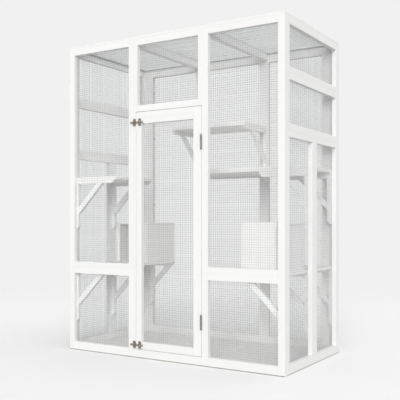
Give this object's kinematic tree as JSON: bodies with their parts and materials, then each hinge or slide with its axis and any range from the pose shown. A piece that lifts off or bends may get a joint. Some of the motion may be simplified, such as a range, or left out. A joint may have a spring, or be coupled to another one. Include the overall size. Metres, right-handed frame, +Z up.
{
  "type": "walk-in cat house",
  "caption": "Tall walk-in cat house of white timber panels and wire mesh, with a hinged door and bolts, braced shelves and nest boxes.",
  "frame": {"origin": "centre of the overall footprint, on the ground", "axes": "+X to the right seen from the door, +Y from the door to the rear wall, +Z up"},
  "size_m": [1.41, 0.752, 1.8],
  "materials": {
    "painted_timber": "satin",
    "painted_board": "satin",
    "wire_mesh": "satin",
    "zinc_steel": "satin",
    "dark_steel": "satin"
  },
  "bodies": {
    "root": {"front_left_lower_frame": "painted_timber", "front_left_upper_frame": "painted_timber", "front_right_lower_frame": "painted_timber", "front_right_upper_frame": "painted_timber", "header_frame": "painted_timber", "door_surround": "painted_timber", "door_stops": "painted_timber", "left_wall_lower_frame": "painted_timber", "left_wall_middle_frame": "painted_timber", "left_wall_top_frame": "painted_timber", "right_wall_lower_frame": "painted_timber", "right_wall_middle_frame": "painted_timber", "right_wall_top_frame": "painted_timber", "rear_left_frame": "painted_timber", "rear_centre_frame": "painted_timber", "rear_right_frame": "painted_timber", "roof_beams": "painted_timber", "roof_trim": "painted_timber", "floor_board": "painted_board", "front_left_lower_mesh": "wire_mesh", "front_left_upper_mesh": "wire_mesh", "front_right_lower_mesh": "wire_mesh", "front_right_upper_mesh": "wire_mesh", "header_mesh": "wire_mesh", "left_wall_lower_mesh": "wire_mesh", "left_wall_middle_mesh": "wire_mesh", "left_wall_top_mesh": "wire_mesh", "right_wall_lower_mesh": "wire_mesh", "right_wall_middle_mesh": "wire_mesh", "right_wall_top_mesh": "wire_mesh", "rear_left_mesh": "wire_mesh", "rear_centre_mesh": "wire_mesh", "rear_right_mesh": "wire_mesh", "roof_mesh": "wire_mesh", "left_upper_shelf": "painted_board", "left_lower_shelf": "painted_board", "right_platform": "painted_board", "right_lower_shelf": "painted_board", "rear_shelf": "painted_board", "left_upper_brackets": "painted_timber", "left_lower_brackets": "painted_timber", "platform_brackets": "painted_timber", "right_lower_brackets": "painted_timber", "rear_shelf_brackets": "painted_timber", "left_nest_walls": "painted_board", "left_nest_roof": "painted_board", "right_nest_walls": "painted_board", "right_nest_roof": "painted_board", "joining_bolts": "zinc_steel", "hinge_post_leaves": "zinc_steel", "hinge_pins": "zinc_steel", "bolt_keepers": "dark_steel", "keeper_screws": "dark_steel"},
    "door": {"door_frame": "painted_timber", "door_mesh": "wire_mesh", "hinge_door_leaves": "zinc_steel", "bolt_barrels": "dark_steel", "barrel_screws": "dark_steel"},
    "upper_bolt": {"upper_slide_bolt": "dark_steel"},
    "lower_bolt": {"lower_slide_bolt": "dark_steel"}
  },
  "joints": [
    {"name": "door_swing", "type": "hinge", "parent": "root", "child": "door", "pos_m": [0.223, -0.3698, 0.71], "axis": [0, 0, 1], "range_deg": [0, 165]},
    {"name": "upper_bolt_slide", "type": "slide", "parent": "door", "child": "upper_bolt", "axis": [-1, 0, 0], "range_m": [0, 0.02]},
    {"name": "lower_bolt_slide", "type": "slide", "parent": "door", "child": "lower_bolt", "axis": [-1, 0, 0], "range_m": [0, 0.02]}
  ]
}
